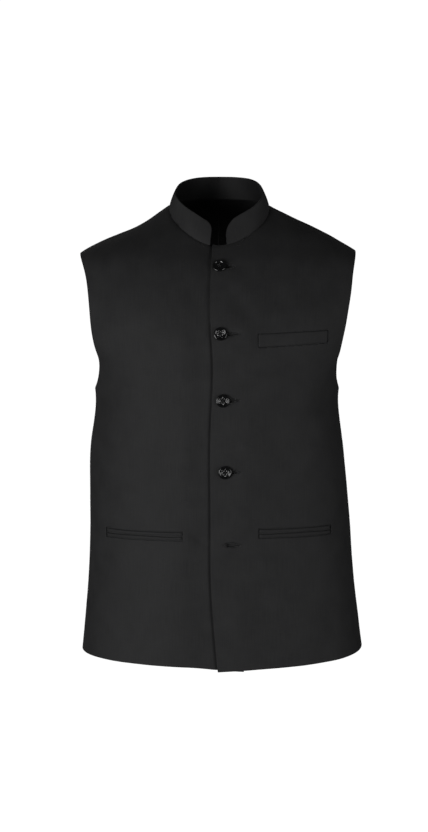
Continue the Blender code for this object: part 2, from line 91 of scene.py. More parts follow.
# Edge of the armholes: distance from the centre line by height
Scye = namedtuple("Scye", "z right left back")
SCYE = (
    Scye(-205, 166.5, 163, 173),
    Scye(-185, 171.5, 167.5, 174.5),
    Scye(-165, 175, 172, 176),
    Scye(-140, 177, 176.5, 178.5),
    Scye(-112, 180, 181, 182),
    Scye(-88, 185, 184.5, 187),
)

# Creases of the worn cloth: centre, turn from level, half length, half width and rise, how far the ends bow
# to one side, and how much steeper one flank is. The first rows of each face are the ones in the solids.
Crease = namedtuple("Crease", "face x z turn length width rise bow lean")
CREASES = (
    Crease(FRONT, 72, -90, 80, 50, 17, -2.6, 0, 0),
    Crease(FRONT, 32, -130, -55, 32, 14, -1.8, 0, 0),
    Crease(FRONT, 112, -150, 70, 46, 26, 2.0, 0, 0),
    Crease(FRONT, -108, -150, 75, 60, 30, 1.8, 0, 0),
    Crease(FRONT, -148, -192, 40, 34, 12, -2.2, 0, 0),
    Crease(FRONT, 146, -205, -35, 36, 12, -2.2, 0, 0),
    Crease(FRONT, 84, -330, 86, 100, 24, -3.2, 0, 0),
    Crease(FRONT, -78, -330, 94, 95, 24, -2.2, 0, 0),
    Crease(FRONT, 36, -335, 88, 90, 16, 1.4, 0, 0),
    Crease(FRONT, -70, -540, 80, 70, 40, 1.6, 0, 0),
    Crease(FRONT, 62, -545, 98, 70, 26, -2.0, 0, 0),
    Crease(BACK, -84, -300, 84, 110, 22, -3.0, 0, 0),
    Crease(BACK, 80, -310, 97, 110, 22, -3.0, 0, 0),
    Crease(BACK, 0, -395, 2, 90, 20, -2.6, 0, 0),
    Crease(BACK, 40, -440, -14, 70, 15, -1.8, 0, 0),
    Crease(BACK, -112, -160, 62, 60, 18, -2.0, 0, 0),
    Crease(BACK, 110, -165, -64, 60, 18, -2.0, 0, 0),
    Crease(BACK, 0, -90, 90, 60, 40, 1.5, 0, 0),

    # Right front: drags from the shoulder, the underarm, the waist and the buttons, and waves at the hem
    Crease(FRONT, -52, -118, 62, 52, 9, -0.8, 6, 0.3),
    Crease(FRONT, -96, -176, 74, 44, 13, 0.7, -5, 0.2),
    Crease(FRONT, -124, -234, 18, 34, 8, -1.3, 4, 0.35),
    Crease(FRONT, -98, -262, 11, 44, 10, 0.8, -5, 0.2),
    Crease(FRONT, -140, -300, 8, 36, 9, -1.0, 3, -0.3),
    Crease(FRONT, -36, -298, -22, 26, 7, -0.6, 3, 0.2),
    Crease(FRONT, -118, -342, -12, 44, 11, 0.9, 5, 0.2),
    Crease(FRONT, -134, -386, 6, 40, 9, -1.1, -4, 0.3),
    Crease(FRONT, -40, -256, 22, 24, 6.5, -0.7, 2, 0.2),
    Crease(FRONT, -38, -352, 12, 24, 6.5, -0.6, 2, 0.2),
    Crease(FRONT, -29, -446, -32, 22, 7, -1.6, 2, 0.3),
    Crease(FRONT, -104, -480, 82, 48, 14, -0.9, 4, 0.2),
    Crease(FRONT, -36, -560, 84, 60, 14, -0.8, 3, 0),
    Crease(FRONT, -128, -592, 97, 44, 15, -1.3, 3, 0.2),

    # Left front: the same, with the pull lines of its buttonholes
    Crease(FRONT, 62, -214, -9, 38, 9, -0.8, 4, 0.3),
    Crease(FRONT, 128, -240, -20, 32, 8, -1.2, 3, 0.3),
    Crease(FRONT, 100, -276, -13, 42, 9, 0.8, -4, 0.2),
    Crease(FRONT, 142, -318, -8, 34, 8, -1.0, 3, 0.2),
    Crease(FRONT, 52, -262, 13, 24, 6.5, -0.7, 2, 0.2),
    Crease(FRONT, 120, -374, 11, 40, 9, -0.9, -4, 0.3),
    Crease(FRONT, 50, -360, -12, 26, 7, -0.7, 2, 0.2),
    Crease(FRONT, 34, -418, 62, 30, 8, -0.8, 3, 0.2),
    Crease(FRONT, 122, -500, 84, 46, 14, -0.9, 3, 0.2),
    Crease(FRONT, 26, -556, 96, 50, 13, 0.8, 3, 0),
    Crease(FRONT, 152, -584, 82, 40, 14, -1.4, 3, 0.2),
    Crease(FRONT, 17, -78.8, 0, 9, 4, -1.0, 0, 0),
    Crease(FRONT, 19, -167.8, 0, 11, 4.5, -1.3, 0, 0),
    Crease(FRONT, 21, -256.6, 0, 10, 4.5, -1.2, 0, 0),
    Crease(FRONT, 23, -354.2, 0, 9, 4.5, -1.1, 0, 0),
    Crease(FRONT, 23, -454.1, 0, 9, 4.5, -1.1, 0, 0),

    # Back: drags from the armholes and across the waist, and waves at the hem
    Crease(BACK, -60, -128, 52, 46, 10, -0.9, 6, 0.3),
    Crease(BACK, 66, -134, -50, 44, 10, -1.0, -6, 0.3),
    Crease(BACK, -128, -226, 16, 36, 9, -1.3, 4, 0.3),
    Crease(BACK, 126, -232, -18, 38, 9, -1.2, 4, 0.3),
    Crease(BACK, -96, -352, -10, 46, 10, -1.2, 5, 0.3),
    Crease(BACK, 104, -366, 9, 44, 9, -1.3, -4, 0.3),
    Crease(BACK, -70, -418, 12, 48, 11, -1.4, 5, 0.3),
    Crease(BACK, 120, -414, -6, 40, 9, -1.0, 4, 0.2),
    Crease(BACK, -36, -372, 4, 40, 9, 0.9, -4, 0.2),
    Crease(BACK, 44, -254, 76, 50, 13, -0.9, 5, 0.2),
    Crease(BACK, -50, -212, 100, 54, 14, 0.8, 5, 0.2),
    Crease(BACK, -110, -540, 84, 60, 17, -1.3, 5, 0.2),
    Crease(BACK, -46, -572, 92, 56, 15, 1.0, -4, 0.2),
    Crease(BACK, 62, -566, 96, 58, 16, -1.2, 4, 0.2),
    Crease(BACK, 136, -580, 85, 50, 15, 1.1, 4, 0.2),
)

# Slow unevenness of pressed cloth: wavelengths across and up, shift and rise
Ripple = namedtuple("Ripple", "across up shift rise")
RIPPLES = (
    Ripple(96, 141, 0.4, 0.30),
    Ripple(-61, 117, 2.1, 0.22),
    Ripple(43, -71, 4.0, 0.13),
    Ripple(29, 53, 1.2, 0.07),
)


def through(knots, values, at):
    """Natural cubic spline through the points, with no bend at its two ends."""
    knots, values = np.array(knots, float), np.array(values, float)
    steps = np.diff(knots)
    count = len(knots)
    system, load = np.eye(count), np.zeros(count)
    for i in range(1, count - 1):
        system[i, i - 1:i + 2] = steps[i - 1], 2 * (steps[i - 1] + steps[i]), steps[i]
        load[i] = 6 * ((values[i + 1] - values[i]) / steps[i] - (values[i] - values[i - 1]) / steps[i - 1])
    bend = np.linalg.solve(system, load)
    i = np.clip(np.searchsorted(knots, at, side="right") - 1, 0, count - 2)
    step, left, right = steps[i], at - knots[i], knots[i + 1] - at
    return (bend[i] * right**3 / (6 * step) + bend[i + 1] * left**3 / (6 * step)
            + (values[i] / step - bend[i] * step / 6) * right
            + (values[i + 1] / step - bend[i + 1] * step / 6) * left)


def column(table, name, at):
    """Value of one column of a table at places along its first column."""
    return through([row[0] for row in table], [getattr(row, name) for row in table], at)


def ease(share):
    """0 up to 0, 1 from 1 on, and 3s^2 - 2s^3 between."""
    share = np.clip(share, 0, 1)
    return share * share * (3 - 2 * share)


def half_width(side, z):
    """Half width of the worn form on one side, by height."""
    return column(LEVELS, "left" if side == LEFT else "right", z)


def depth(face, z):
    """Depth of the worn form from the line through the seams, by height."""
    return column(LEVELS, "front" if face == FRONT else "back", z)


def form(face, side, angle, z):
    """Point of the worn form: a superellipse at each height, by angle from the centre line to the side."""
    square = column(LEVELS, "square", z)
    s, c = np.sin(angle), np.cos(angle)
    reach = (np.abs(s)**square + np.abs(c)**square) ** (-1 / square)
    x = half_width(side, z) * reach * s
    y = column(LEVELS, "middle", z) + face * depth(face, z) * reach * c
    rise = NECK_RISE * ease((y - RISE_START) / RISE_LENGTH) * ease((z - RISE_BELOW) / RISE_HEIGHT)
    return np.stack((x, y, z + rise), axis=-1)


def outward(face, side, angle, z):
    """Unit normal of the worn form: the cross product of its steps along the angle and the height."""
    d_angle, d_z = 1e-3, 0.1
    along = form(face, side, angle + d_angle, z) - form(face, side, angle - d_angle, z)
    up = form(face, side, angle, z + d_z) - form(face, side, angle, z - d_z)
    normal = -face * np.cross(along, up)
    return normal / np.linalg.norm(normal, axis=-1, keepdims=True)


def crease_rise(face, x, z, angle):
    """Sum of the creases, rise * exp(-(along / length)^2 - (across / width)^2) each, and of the ripples, sines of
    x / across + z / up. All fade out towards the side seams."""
    total = np.zeros_like(x)
    for crease in CREASES:
        if crease.face == face:
            turn = radians(crease.turn)
            along = ((x - crease.x) * cos(turn) + (z - crease.z) * sin(turn)) / crease.length
            across = (z - crease.z) * cos(turn) - (x - crease.x) * sin(turn) - crease.bow * along**2
            width = crease.width * (1 + crease.lean * np.tanh(across / crease.width))
            total += crease.rise * np.exp(-along**2 - (across / width)**2)
    for ripple in RIPPLES:
        total += ripple.rise * np.sin(2 * pi * (x / ripple.across + z / ripple.up) + ripple.shift * (2 + face))
    return total * (1 - (np.abs(angle) / (pi / 2))**8)


def cloth(face, side, angle, z, out=0.0):
    """Point on the outer side of the cloth, or moved out from it: the form plus its creases along its normal."""
    angle, z = np.broadcast_arrays(np.asarray(angle, float), np.asarray(z, float))
    base = form(face, side, angle, z)
    away = crease_rise(face, base[..., 0], z, angle) + out
    return base + outward(face, side, angle, z) * away[..., None]


def tuck(x):
    """How far the right front lies in, so that the left front passes over it."""
    return -(WALL + LAP) * ease((x - TUCK_START) / TUCK_LENGTH)


def angle_at(face, side, x, z):
    """Angle of the point at a distance x out from the centre line."""
    square = column(LEVELS, "square", z)
    share = x / half_width(side, z)
    rest = np.clip(1 - np.abs(share)**square, 0, 1) ** (1 / square)
    return np.arctan2(share, rest)


def spread(face, side, z):
    """Length on the flat pattern for each unit of angle: the root mean square of half width and depth."""
    return np.sqrt((half_width(side, z)**2 + depth(face, z)**2) / 2)


def pattern(face, side, x, z):
    """Place on the flat pattern: distance from the centre line along the cloth, and height."""
    return np.stack((angle_at(face, side, x, z) * spread(face, side, z), z), axis=-1)


def seam_line(face, side, z):
    """The side or shoulder seam on the flat pattern: a quarter turn from the centre line."""
    return np.stack((pi / 2 * spread(face, side, z), z), axis=-1)


def divided(points, shares):
    """Points at the given shares of a line's length."""
    lengths = np.concatenate(([0], np.cumsum(np.linalg.norm(np.diff(points, axis=0), axis=1))))
    at = np.asarray(shares) * lengths[-1]
    return np.stack([np.interp(at, lengths, part) for part in points.T], axis=-1)


def evenly(points, cells):
    """Points that divide a line into equal lengths."""
    return divided(points, np.linspace(0, 1, cells + 1))


RIM_CELL = 1.1     # first step from an edge, wider than the edge's rounding


def spaced(points, cells, mesh):
    """Points along a line: one step of the rim's width, short equal steps over the mesh's strip, and longer equal
    steps after it."""
    length = np.linalg.norm(np.diff(points, axis=0), axis=1).sum()
    split = mesh.strip / length
    return divided(points, np.concatenate(([0], np.linspace(RIM_CELL / length, split, mesh.fine - 1, endpoint=False),
                                           np.linspace(split, 1, cells - mesh.fine + 1))))


def patch(bottom, top, inner, outer, rows):
    """Coons patch: a grid inside four border lines, each point the sum of the blends of opposite borders less
    the blend of the corners."""
    u = np.linspace(0, 1, len(bottom))[None, :, None]
    v = rows[:, None, None]
    ends = ((1 - u) * (1 - v) * bottom[0] + u * (1 - v) * bottom[-1] + (1 - u) * v * top[0] + u * v * top[-1])
    return (1 - v) * bottom + v * top + (1 - u) * inner[:, None] + u * outer[:, None] - ends


def armhole(face, side):
    """Armhole on the flat pattern: a quarter ellipse from the underarm to the dividing row, and on to the tip."""
    tip = SHOULDER_TIP[side]
    heights = np.linspace(NOTCH, tip, 300)
    name = "back" if face == BACK else ("left" if side == LEFT else "right")
    rows = [(row.z, getattr(row, name)) for row in SCYE] + [(tip, float(half_width(side, np.array(tip))))]
    x = through([row[0] for row in rows], [row[1] for row in rows], heights)
    upper = pattern(face, side, np.minimum(x, half_width(side, heights)), heights)
    upper[-1] = seam_line(face, side, np.array(tip))
    under = seam_line(face, side, np.array(UNDERARM))
    turn = np.linspace(0, pi / 2, 121)[:, None]
    scoop = np.concatenate((upper[0, 0] + (under[0] - upper[0, 0]) * (1 - np.sin(turn)),
                            NOTCH + (UNDERARM - NOTCH) * np.cos(turn)), axis=1)
    cut = int(np.searchsorted(turn[:, 0], DIVIDE_TURN))
    return scoop[:cut + 1], np.concatenate((scoop[cut:], upper[1:]))


def neckline(face, side, start):
    """Neckline on the flat pattern, from a distance out from the centre line to the shoulder seam: at the front a
    superellipse of power NECK_POWER, at the back level."""
    end = float(half_width(side, np.array(NECK_POINT)))
    x = start + (end - start) * np.sin(np.linspace(0, pi / 2, 301))
    drop = (1 - np.minimum(np.abs(x) / end, 1)**NECK_POWER) ** (1 / NECK_POWER)
    z = NECK_POINT - (NECK_DROP * drop if face == FRONT else 0 * drop)
    line = pattern(face, side, x, z)
    line[-1] = seam_line(face, side, np.array(NECK_POINT))
    return line


# Rows and columns of a panel's mesh, and how many of the columns lie in the strip along its inner edge
Mesh = namedtuple("Mesh", "body chest neck shoulder underarm fine strip")
FRONT_MESH = Mesh(body=170, chest=115, neck=78, shoulder=40, underarm=20, fine=64, strip=46)
RIGHT_FRONT_MESH = Mesh(body=160, chest=110, neck=100, shoulder=40, underarm=20, fine=86, strip=64)
CHEST_CROWDING = 1.1     # rows lie closer together towards the shoulder


def panel_grids(face, side, edge, mesh):
    """Angles and heights of a panel of the cloth, as two grids that share a row: the body and the chest."""
    neck = neckline(face, side, float(edge(np.array(NECK_POINT - NECK_DROP))))
    under, above = armhole(face, side)
    split = above[0]
    body_rows = np.linspace(0, 1, mesh.body + 1)
    chest_rows = 1 - (1 - np.linspace(0, 1, mesh.chest + 1))**CHEST_CROWDING
    hem_middle = HEM_FRONT if face == FRONT else HEM_BACK
    body_heights = hem_middle + (DIVIDE - hem_middle) * body_rows
    chest_heights = DIVIDE + (neck[0, 1] - DIVIDE) * chest_rows
    body_inner = pattern(face, side, edge(body_heights), body_heights)
    chest_inner = pattern(face, side, edge(chest_heights), chest_heights)
    chest_inner[-1] = neck[0]
    shoulder = seam_line(face, side, np.linspace(NECK_POINT, SHOULDER_TIP[side], 200))
    columns = mesh.neck + mesh.shoulder
    row = spaced(np.stack((body_inner[-1], split)), columns, mesh)
    body_top = np.concatenate((row, evenly(under[::-1], mesh.underarm)[1:]))
    side_seam = seam_line(face, side, HEM_SIDE[side] + (UNDERARM - HEM_SIDE[side]) * body_rows)
    hem = spaced(np.stack((body_inner[0], side_seam[0])), columns + mesh.underarm, mesh)
    if face == FRONT:
        hem[:, 1] += HEM_BOW[side] * np.sin(pi * np.linspace(0, 1, len(hem))**HEM_BOW_POWER)
    chest_top = np.concatenate((spaced(neck, mesh.neck, mesh), evenly(shoulder, mesh.shoulder)[1:]))
    grids = (patch(hem, body_top, body_inner, side_seam, body_rows),
             patch(row, chest_top, chest_inner, divided(above, chest_rows), chest_rows))
    return [(side * grid[..., 0] / spread(face, side, grid[..., 1]), grid[..., 1]) for grid in grids]


SEAM_SINK, SEAM_REACH = 0.5, 2.6     # cloth drawn in along a sewn edge
NECK_SINK, NECK_REACH = 1.1, 2.3     # and along the neckline, under the collar's foot


def from_neckline(face, side, angle, z):
    """Distance from the neckline: at the front its superellipse's value over the length of its gradient, at the
    back the height below it."""
    below = NECK_POINT - z
    if face == BACK:
        return below
    end = float(half_width(side, np.array(NECK_POINT)))
    u, v = np.abs(form(face, side, angle, z)[..., 0]) / end, np.maximum(below, 0) / NECK_DROP
    steepness = NECK_POWER * np.hypot(u**(NECK_POWER - 1) / end, v**(NECK_POWER - 1) / NECK_DROP)
    return (u**NECK_POWER + v**NECK_POWER - 1) / np.maximum(steepness, 1e-3)


def seam_sink(face, side, angle, z):
    """How far the cloth is drawn in at its seams: a Gaussian of the distance from the side and shoulder seams
    and from the neckline, and on the back from its centre seam too."""
    sink = np.exp(-((pi / 2 - np.abs(angle)) * depth(face, z) / SEAM_REACH)**2)
    if face == BACK:
        sink = np.maximum(sink, np.exp(-(angle * half_width(side, z) / SEAM_REACH)**2))
    neck = np.exp(-(from_neckline(face, side, angle, z) / NECK_REACH)**2)
    return -np.maximum(SEAM_SINK * sink, NECK_SINK * neck)


def cells(index):
    """Quads of a grid of point numbers."""
    return np.stack((index[:-1, :-1], index[:-1, 1:], index[1:, 1:], index[1:, :-1]), axis=-1).reshape(-1, 4)


def panel(face, side, edge, lift, mesh):
    """Outer points, inner points, flat places and quads of a panel whose two grids share a row."""
    outer, inner, places, numbers = [], [], [], []
    count = 0
    for angle, z in panel_grids(face, side, edge, mesh):
        out = lift(form(face, side, angle, z)[..., 0], z)
        outer.append(cloth(face, side, angle, z, out + seam_sink(face, side, angle, z)).reshape(-1, 3))
        inner.append(cloth(face, side, angle, z, out - WALL).reshape(-1, 3))
        places.append(np.stack((angle * spread(face, side, z), z), axis=-1).reshape(-1, 2))
        numbers.append(np.arange(angle.size).reshape(angle.shape) + count)
        count += angle.size
    numbers[1][0] = numbers[0][-1, :numbers[1].shape[1]]
    quads = np.concatenate([cells(grid)[:, ::side] for grid in numbers])
    used = np.unique(quads)
    return (np.concatenate(outer)[used], np.concatenate(inner)[used], np.concatenate(places)[used],
            np.searchsorted(used, quads))


def closed(quads, count):
    """Quads of a wall: the outer skin, the inner skin turned round, and a rim along each open edge."""
    sides = np.stack((quads, np.roll(quads, -1, axis=1)), axis=-1).reshape(-1, 2)
    there, back_again = sides @ (2 * count, 1), sides @ (1, 2 * count)
    a, b = sides[~np.isin(there, back_again)].T
    return np.concatenate((quads, quads[:, ::-1] + count, np.stack((b, a, a + count, b + count), axis=-1)))


def facing_out(points, quads):
    """The quads, turned round if the volume inside them is negative."""
    a, b, c, d = (points[quads[:, k]] for k in range(4))
    inside = np.einsum("ij,ij->", a, np.cross(b, c)) + np.einsum("ij,ij->", a, np.cross(c, d))
    return quads if inside > 0 else quads[:, ::-1]


def piece(name, points, quads, places, inside, material):
    """Object of a closed surface in millimetres, with its flat places as UV map and its inner side as attribute."""
    quads = facing_out(points, quads)
    mesh = bpy.data.meshes.new(name)
    mesh.from_pydata((points * MM).tolist(), [], quads.tolist())
    mesh.uv_layers.new(name="cut").data.foreach_set("uv", (places[quads.ravel()] * MM).ravel())
    mesh.attributes.new("inside", "FLOAT", "POINT").data.foreach_set("value", inside.astype(np.float32))
    mesh.materials.append(material)
    mesh.shade_smooth()
    item = bpy.data.objects.new(name, mesh)
    bpy.context.scene.collection.objects.link(item)
    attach(item, "root")
    return item


def wall(name, outer, inner, places, quads, material):
    """Object of a wall of cloth, from its two skins."""
    inside = np.repeat((0.0, 1.0), len(outer))
    return piece(name, np.concatenate((outer, inner)), closed(quads, len(outer)),
                 np.concatenate((places, places)), inside, material)


EDGE_ROUND, EDGE_STEPS = 0.7, 3     # turned and pressed edge


def round_edges(item, width=EDGE_ROUND, steps=EDGE_STEPS):
    """Rounds the rim of a wall, as a turned edge is."""
    bevel = item.modifiers.new("turned edge", "BEVEL")
    bevel.width = width * MM
    bevel.segments = steps
    bevel.limit_method = "ANGLE"
    bevel.angle_limit = radians(50)
    bevel.use_clamp_overlap = False


def settle(item):
    """Puts what the modifiers make into the mesh, and takes them off."""
    mesh = bpy.data.meshes.new_from_object(item.evaluated_get(bpy.context.evaluated_depsgraph_get()))
    old, name = item.data, item.data.name
    item.modifiers.clear()
    item.data = mesh
    bpy.data.meshes.remove(old)
    mesh.name = name


class Number:
    """Socket of a node, with arithmetic that adds Math nodes."""

    def __init__(self, finish, socket):
        self.finish, self.socket = finish, socket

    def maths(self, operation, *values):
        return self.finish.node("ShaderNodeMath", {"operation": operation}, *values)

    def __add__(self, other):
        return self.maths("ADD", self, other)

    def __sub__(self, other):
        return self.maths("SUBTRACT", self, other)

    def __rsub__(self, other):
        return self.maths("SUBTRACT", other, self)

    def __mul__(self, other):
        return self.maths("MULTIPLY", self, other)

    __radd__ = __add__
    __rmul__ = __mul__

    def __pow__(self, other):
        return self.maths("POWER", self, other)

    def sine(self):
        return self.maths("SINE", self)


class Finish:
    """Material with a Principled BSDF and the nodes that feed it."""

    def __init__(self, name, **constants):
        self.material = bpy.data.materials.new(name)
        self.material.use_nodes = True
        self.tree = self.material.node_tree
        self.shader = self.tree.nodes["Principled BSDF"]
        for socket, value in constants.items():
            self.shader.inputs[socket.replace("_", " ")].default_value = value

    def node(self, kind, settings, *values, take=0, **named):
        """Adds a node: its settings first, then the values or links of its sockets, by order or by name."""
        made = self.tree.nodes.new(kind)
        for name, value in settings.items():
            setattr(made, name, value)
        for key, value in [*enumerate(values), *((name.replace("_", " "), named[name]) for name in named)]:
            if isinstance(value, Number):
                self.tree.links.new(value.socket, made.inputs[key])
            else:
                made.inputs[key].default_value = value
        return Number(self, made.outputs[take])

    def feed(self, socket, value):
        self.tree.links.new(value.socket, self.shader.inputs[socket])

    def blend(self, share, first, second):
        """Colour between two others."""
        mix = self.node("ShaderNodeMix", {"data_type": "RGBA"}, share, take=2)
        made = mix.socket.node
        made.inputs[6].default_value = (*first, 1)
        made.inputs[7].default_value = (*second, 1)
        return mix

    def flat_place(self):
        """Millimetres across and up the flat cut, from the UV map."""
        place = self.node("ShaderNodeUVMap", {"uv_map": "cut"})
        split = self.node("ShaderNodeSeparateXYZ", {}, place).socket.node
        return Number(self, split.outputs[0]) * 1000, Number(self, split.outputs[1]) * 1000

    def noise(self, vector, scale, detail=2.0):
        return self.node("ShaderNodeTexNoise", {}, Vector=vector, Scale=scale, Detail=detail)


YARN, TWILL = 0.55, 1.1     # spacing of the yarns and of the twill's ribs
SUITING_DARK, SUITING_LIGHT = (0.0185, 0.0185, 0.0192), (0.0285, 0.0285, 0.0292)
LINED_DARK, LINED_LIGHT = (0.009, 0.009, 0.0095), (0.013, 0.013, 0.0135)
# Colour of the turned edges: worn cloth, with a painted highlight along them as well
RUBBED_EDGE_AND_HIGHLIGHT = (0.026, 0.026, 0.027, 1)


def suiting_finish():
    """Black worsted twill: ribs of the twill crossed by fine yarns, with slow streaks and mottling. The inner side
    is smoother and darker, and the turned edges are worn shinier and painted lighter, as wear and as a painted
    highlight."""
    finish = Finish("black_suiting", Sheen_Weight=0.04, Sheen_Roughness=0.45, Specular_IOR_Level=0.26)
    across, up = finish.flat_place()
    place = finish.node("ShaderNodeCombineXYZ", {}, across, up, 0.0)
    streaks = finish.noise(finish.node("ShaderNodeCombineXYZ", {}, across * 1.3, up * 0.03, 0.0), 1.0)
    mottle = finish.noise(place, 0.035, 3.0)
    inside = finish.node("ShaderNodeAttribute", {"attribute_name": "inside"}, take=2)
    slubs = finish.noise(finish.node("ShaderNodeCombineXYZ", {}, across * 0.12, up * 0.9, 0.0), 1.0)
    share = streaks * 1.1 + slubs * 0.5 + mottle * 1.5 - 1.05
    outside_colour = finish.blend(share, SUITING_DARK, SUITING_LIGHT)
    inside_colour = finish.blend(share, LINED_DARK, LINED_LIGHT)
    colour = finish.node("ShaderNodeMix", {"data_type": "RGBA"}, inside, take=2)
    for slot, source in ((6, outside_colour), (7, inside_colour)):
        finish.tree.links.new(source.socket, colour.socket.node.inputs[slot])
    # Mask of the turned edges, where the colour is painted lighter as a highlight as well as worn
    rubbed_and_highlit = inside * (1 - inside) * (0.6 + streaks * 1.6)
    worn_and_highlit_colour = finish.node("ShaderNodeMix", {"data_type": "RGBA"}, rubbed_and_highlit, take=2)
    finish.tree.links.new(colour.socket, worn_and_highlit_colour.socket.node.inputs[6])
    worn_and_highlit_colour.socket.node.inputs[7].default_value = RUBBED_EDGE_AND_HIGHLIGHT
    finish.feed("Base Color", worn_and_highlit_colour)
    finish.feed("Roughness", 0.64 + mottle * 0.12 - inside * 0.2 - rubbed_and_highlit * 0.3)
    ribs = ((across + up) * (2 * pi / TWILL)).sine()
    yarns = (across * (2 * pi / YARN)).sine() * (up * (2 * pi / YARN)).sine()
    height = (ribs * 0.5 + yarns * 0.5) * (1 - inside * 0.6) + streaks
    finish.feed("Normal", finish.node("ShaderNodeBump", {}, Strength=0.35, Distance=0.00012, Height=height))
    return finish.material


# Edge of the left front, which presses the right front in along it: distance from the centre line by height
Edge = namedtuple("Edge", "z x")
LEFT_EDGE = (
    Edge(-630, -1.8),
    Edge(-565, -7.4),
    Edge(-510, -11),
    Edge(-430, -11.6),
    Edge(-285, -11),
    Edge(-207, -8.4),
    Edge(-150, -11.8),
    Edge(-48, -8.9),
)
GROOVE_DEPTH, GROOVE_WIDTH, GROOVE_TAIL = 1.1, 2.8, 4.5


def right_edge(z):
    """Edge of the right front, past the centre line."""
    return np.full_like(z, -UNDERLAP, dtype=float)


def left_edge(z):
    """Edge of the left front, by height."""
    return column(LEFT_EDGE, "x", z)


def lies_under(x, z):
    """Lift of the right front: the tuck, less a groove along the left front's edge, a Gaussian that is narrow on
    the open side and wide under the left front."""
    beside = x - left_edge(z)
    share = beside / np.where(beside < 0, GROOVE_WIDTH, GROOVE_TAIL)
    return tuck(x) - GROOVE_DEPTH * np.exp(-share**2)


def cloth_panel(node, face, side, edge, lift, mesh):
    """One of the body's panels, with its edges turned, in place of the solid of that name."""
    item = wall(node + "_cloth", *panel(face, side, edge, lift, mesh), suiting)
    round_edges(item)
    settle(item)
    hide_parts(node)
    return item


suiting = suiting_finish()
right_front = cloth_panel("right_front", FRONT, RIGHT, right_edge, lies_under, RIGHT_FRONT_MESH)


# Left front: the same suiting, cut to the same form, with a pressed edge that closes over the right front and
# five worked buttonholes across it.
Place = namedtuple("Place", "x z")
BUTTONS = (Place(0, -78.8), Place(1.5, -167.8), Place(4.9, -256.6), Place(7.9, -354.2), Place(8.3, -454.1))


def lies_on(x, z):
    """No lift: the panel lies on the worn form."""
    return np.zeros_like(x)


left_front = cloth_panel("left_front", FRONT, LEFT, left_edge, lies_on, FRONT_MESH)


# Back: two panels of the suiting, joined by a seam down the centre and sewn to the fronts at the side and
# shoulder seams.
BACK_MESH = Mesh(body=120, chest=84, neck=34, shoulder=36, underarm=18, fine=6, strip=6)


def centre_seam(z):
    """Where the two panels of the back meet."""
    return np.zeros_like(z, dtype=float)


right_back = cloth_panel("right_back", BACK, RIGHT, centre_seam, lies_on, BACK_MESH)
left_back = cloth_panel("left_back", BACK, LEFT, centre_seam, lies_on, BACK_MESH)


# Collar: a band of stiffened suiting, sewn round the neckline, that leans in towards the neck and has rounded
# front corners.
Stand = namedtuple("Stand", "share inward forward up")
COLLAR = (
    Stand(0, 11, 0, 28.5),
    Stand(0.1, 8, -1, 31.5),
    Stand(0.23, 4.5, 0, 31),
    Stand(0.38, 4.5, 7.5, 30),
    Stand(0.54, 9.5, 14, 24),
    Stand(0.67, 9, 7, 27),
    Stand(0.8, 8, 3, 30),
    Stand(1, 8, 0, 31),
)
COLLAR_WALL, COLLAR_BOW, COLLAR_PROUD = 2.4, 0.8, 0.5
COLLAR_END = {RIGHT: 12.3, LEFT: 10.2}
COLLAR_CORNER = {RIGHT: 9.0, LEFT: 17.0}
COLLAR_FOOT = -0.045     # its sewn edge goes down into the seam, as a share of its height
COLLAR_COLUMNS, CORNER_COLUMNS, COLLAR_ROWS = 210, 22, 20
RING_CELLS, RING_SMOOTHING = 480, 72


def neck_ring():
    """Sewn edge of the collar: the neckline from its front end on the left, round the back, to the right."""
    lines = []
    for face, side, start in ((FRONT, LEFT, COLLAR_END[LEFT]), (BACK, LEFT, 0.0),
                              (BACK, RIGHT, 0.0), (FRONT, RIGHT, COLLAR_END[RIGHT])):
        line = neckline(face, side, start)
        angle = side * line[:, 0] / spread(face, side, line[:, 1])
        points = cloth(face, side, angle, line[:, 1])
        if face == FRONT and side == RIGHT:
            points = cloth(face, side, angle, line[:, 1], tuck(points[:, 0]))
        lines.append(points)
    ring = np.concatenate((lines[0], lines[1][::-1], lines[2][1:], lines[3][::-1]))
    ring = evenly(ring, RING_CELLS)
    for _ in range(RING_SMOOTHING):
        ring[1:-1] = (ring[:-2] + 2 * ring[1:-1] + ring[2:]) / 4
    return ring


def collar_stations(ring):
    """Shares of the ring's length at the collar's columns, close together round its front corners, and how
    much of the full height the collar has at each: quarter circles at the corners."""
    length = np.linalg.norm(np.diff(ring, axis=0), axis=1).sum()
    full = COLLAR[0].up
    turn = np.linspace(0, pi / 2, CORNER_COLUMNS + 1)
    near, far = COLLAR_CORNER[LEFT], COLLAR_CORNER[RIGHT]
    start, end = near * (1 - np.cos(turn)) / length, 1 - far * (1 - np.cos(turn[::-1])) / length
    middle = np.linspace(start[-1], end[0], COLLAR_COLUMNS + 1)[1:-1]
    heights = (1 - near / full * (1 - np.sin(turn)), np.ones(len(middle)),
               1 - far / full * (1 - np.sin(turn[::-1])))
    return np.concatenate((start, middle, end)), np.concatenate(heights)


